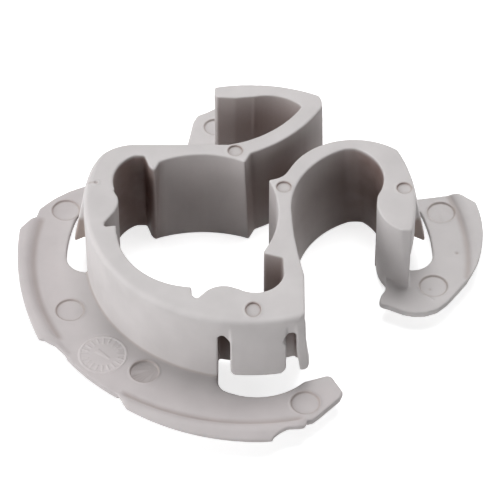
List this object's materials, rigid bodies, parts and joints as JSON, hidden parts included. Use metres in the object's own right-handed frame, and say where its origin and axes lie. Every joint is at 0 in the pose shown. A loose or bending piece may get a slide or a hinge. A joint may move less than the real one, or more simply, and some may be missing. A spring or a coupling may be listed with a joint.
{
  "type": "tubing isolator",
  "caption": "One-piece snap-in plastic isolator: a flanged ring with open seats that hold water tubes clear of a metal stud.",
  "frame": {"origin": "axis of the round stud hole at the level of the lowest face, on which the part lies", "axes": "+Z along the hole axis from the flange towards the top of the seats, +X towards the medium seat, +Y away from the front finger"},
  "size_m": [0.0861, 0.0861, 0.0188],
  "materials": {
    "plastic": "pale warm grey, satin moulded surface"
  },
  "bodies": {
    "root": {"isolator": "plastic"}
  },
  "joints": []
}
